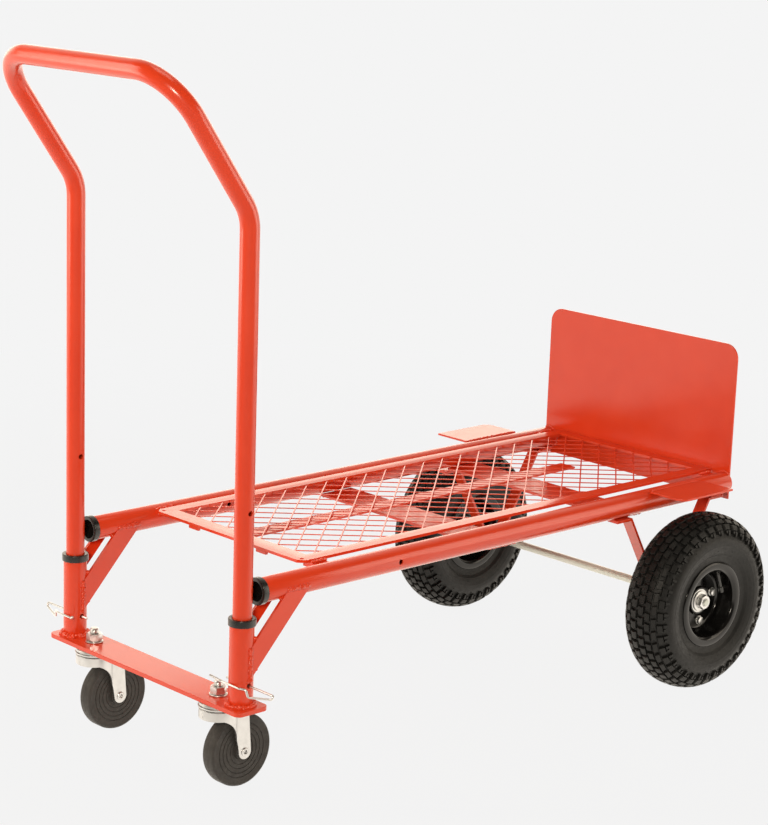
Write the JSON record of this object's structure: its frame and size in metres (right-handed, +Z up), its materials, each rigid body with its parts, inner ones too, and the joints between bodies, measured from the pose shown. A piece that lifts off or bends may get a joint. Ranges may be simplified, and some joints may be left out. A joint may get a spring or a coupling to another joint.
{
  "type": "garden cart",
  "caption": "Platform hand cart that converts to a sack truck: tubular frame, diamond-mesh deck, upright toe plate, cranked U handle, pneumatic wheels and swivel casters.",
  "frame": {"origin": "on the floor under the middle of the cart's overall length and width", "axes": "+X towards the toe plate, +Y to the left of a person standing at the handle, +Z up"},
  "size_m": [1.0742, 0.5534, 0.9336],
  "materials": {
    "red_paint": "gloss powder coat",
    "collar_plastic": "satin",
    "tyre_rubber": "matte",
    "tube_rubber": "matte",
    "black_enamel": "gloss",
    "caster_rubber": "satin",
    "zinc": "bright zinc plate"
  },
  "bodies": {
    "frame": {"rail_left": "red_paint", "rail_collar_left": "collar_plastic", "socket_left": "red_paint", "socket_collar_left": "collar_plastic", "gusset_left": "red_paint", "corner_brace_left": "red_paint", "wheel_guard_left": "red_paint", "axle_bracket_left": "red_paint", "rail_right": "red_paint", "rail_collar_right": "collar_plastic", "socket_right": "red_paint", "socket_collar_right": "collar_plastic", "gusset_right": "red_paint", "corner_brace_right": "red_paint", "wheel_guard_right": "red_paint", "axle_bracket_right": "red_paint", "caster_bar": "red_paint", "toe_plate": "red_paint", "cross_strap_rear": "red_paint", "cross_strap_front": "red_paint", "deck_frame": "red_paint", "deck_mesh": "red_paint", "deck_centre_bar": "red_paint", "handle": "red_paint", "axle": "zinc", "axle_washer_left": "zinc", "axle_nut_left": "zinc", "axle_spacer_left": "zinc", "caster_stem_left": "zinc", "caster_washer_left": "zinc", "caster_nut_left": "zinc", "caster_race_left": "zinc", "axle_washer_right": "zinc", "axle_nut_right": "zinc", "axle_spacer_right": "zinc", "caster_stem_right": "zinc", "caster_washer_right": "zinc", "caster_nut_right": "zinc", "caster_race_right": "zinc"},
    "fork_left": {"caster_fork_left": "zinc", "caster_pin_left": "zinc"},
    "caster_left": {"caster_wheel_left": "caster_rubber"},
    "wheel_left": {"tyre_left": "tyre_rubber", "inner_tube_left": "tube_rubber", "rim_outer_left": "black_enamel", "rim_inner_left": "black_enamel", "wheel_bearing_outer_left": "zinc", "wheel_bearing_inner_left": "zinc"},
    "pin_left": {"hitch_pin_left": "zinc"},
    "fork_right": {"caster_fork_right": "zinc", "caster_pin_right": "zinc"},
    "caster_right": {"caster_wheel_right": "caster_rubber"},
    "wheel_right": {"tyre_right": "tyre_rubber", "inner_tube_right": "tube_rubber", "rim_outer_right": "black_enamel", "rim_inner_right": "black_enamel", "wheel_bearing_outer_right": "zinc", "wheel_bearing_inner_right": "zinc"},
    "pin_right": {"hitch_pin_right": "zinc"}
  },
  "joints": [
    {"name": "caster_swivel_left", "type": "hinge", "parent": "frame", "child": "fork_left", "pos_m": [-0.40085, 0.132, 0.11], "axis": [0, 0, 1], "continuous": true},
    {"name": "caster_roll_left", "type": "hinge", "parent": "fork_left", "child": "caster_left", "pos_m": [-0.36885, 0.132, 0.049], "axis": [0, 1, 0], "continuous": true},
    {"name": "wheel_roll_left", "type": "hinge", "parent": "frame", "child": "wheel_left", "pos_m": [0.40715, 0.239, 0.13], "axis": [0, 1, 0], "continuous": true},
    {"name": "hitch_pin_slide_left", "type": "slide", "parent": "frame", "child": "pin_left", "axis": [0, 1, 0], "range_m": [0, 0.06]},
    {"name": "caster_swivel_right", "type": "hinge", "parent": "frame", "child": "fork_right", "pos_m": [-0.40085, -0.132, 0.11], "axis": [0, 0, 1], "continuous": true},
    {"name": "caster_roll_right", "type": "hinge", "parent": "fork_right", "child": "caster_right", "pos_m": [-0.36885, -0.132, 0.049], "axis": [0, 1, 0], "continuous": true},
    {"name": "wheel_roll_right", "type": "hinge", "parent": "frame", "child": "wheel_right", "pos_m": [0.40715, -0.239, 0.13], "axis": [0, 1, 0], "continuous": true},
    {"name": "hitch_pin_slide_right", "type": "slide", "parent": "frame", "child": "pin_right", "axis": [0, -1, 0], "range_m": [0, 0.06]}
  ]
}
